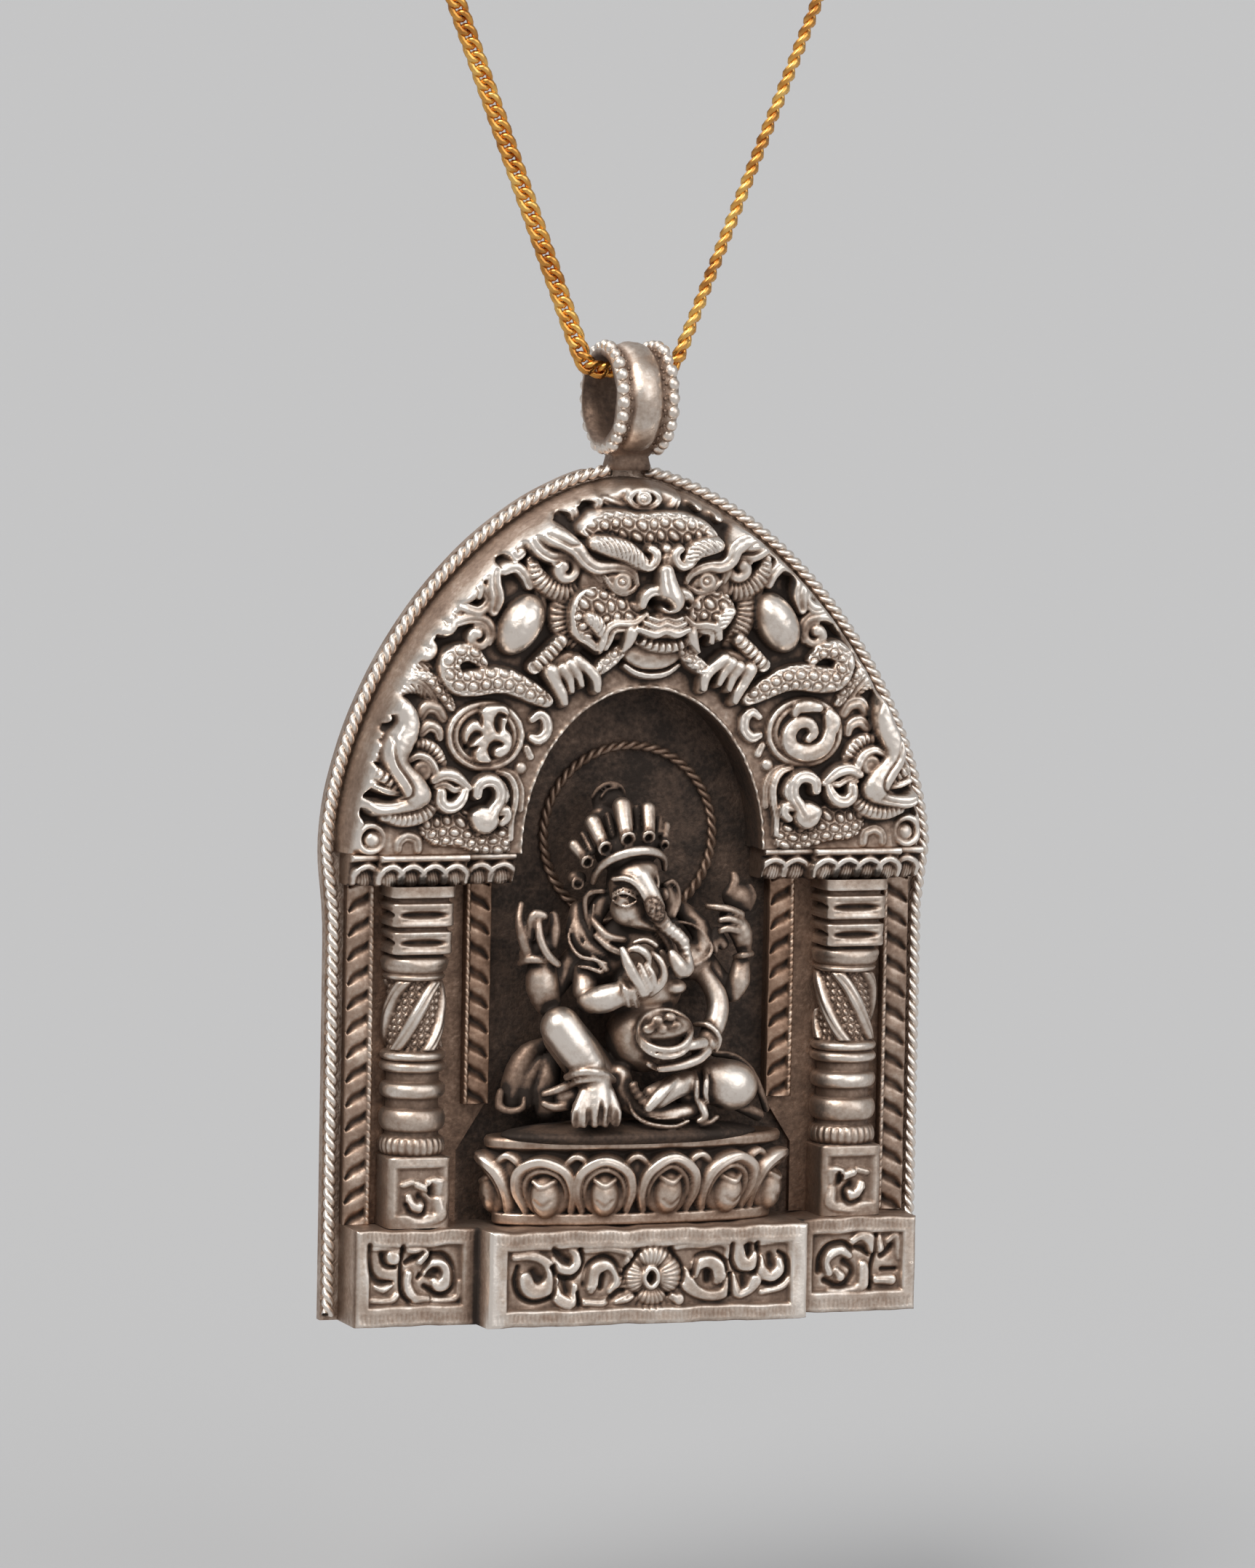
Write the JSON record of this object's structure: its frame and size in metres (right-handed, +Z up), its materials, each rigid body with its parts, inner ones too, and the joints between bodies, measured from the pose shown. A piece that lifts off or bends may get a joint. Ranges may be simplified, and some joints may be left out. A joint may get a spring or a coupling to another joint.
{
  "type": "necklace pendant",
  "caption": "silver shrine pendant with a seated elephant-headed figure under an arch relief, hung from a beaded bail on a gold-coloured curb chain",
  "frame": {"origin": "underside of the clasp at the nape, where the chain hangs", "axes": "+Z up, -Y the way the pendant faces, +X to the right seen from the front"},
  "size_m": [0.0928, 0.0134, 0.2669],
  "materials": {
    "antique_silver": "worn polish on the high places, dark brown tarnish in the hollows",
    "gold_plate": "polished, worn to copper on top of the links"
  },
  "bodies": {
    "chain": {"chain_right": "gold_plate", "chain_left": "gold_plate", "clasp": "gold_plate"},
    "pendant": {"back_plate": "antique_silver", "rim_rope_right": "antique_silver", "rim_rope_left": "antique_silver", "halo_rope": "antique_silver", "plinth": "antique_silver", "side_panel_right": "antique_silver", "side_panel_left": "antique_silver", "outer_strip_right": "antique_silver", "outer_strip_left": "antique_silver", "inner_strip_right": "antique_silver", "inner_strip_left": "antique_silver", "pillar_right": "antique_silver", "pillar_left": "antique_silver", "capital_right": "antique_silver", "capital_left": "antique_silver", "arch_relief": "antique_silver", "lotus_throne": "antique_silver", "ganesha_figure": "antique_silver", "bail": "antique_silver"}
  },
  "joints": [
    {"name": "pendant_swing", "type": "hinge", "parent": "chain", "child": "pendant", "pos_m": [0, 0, -0.1918], "axis": [1, 0, 0], "range_deg": [-90, 90]}
  ]
}
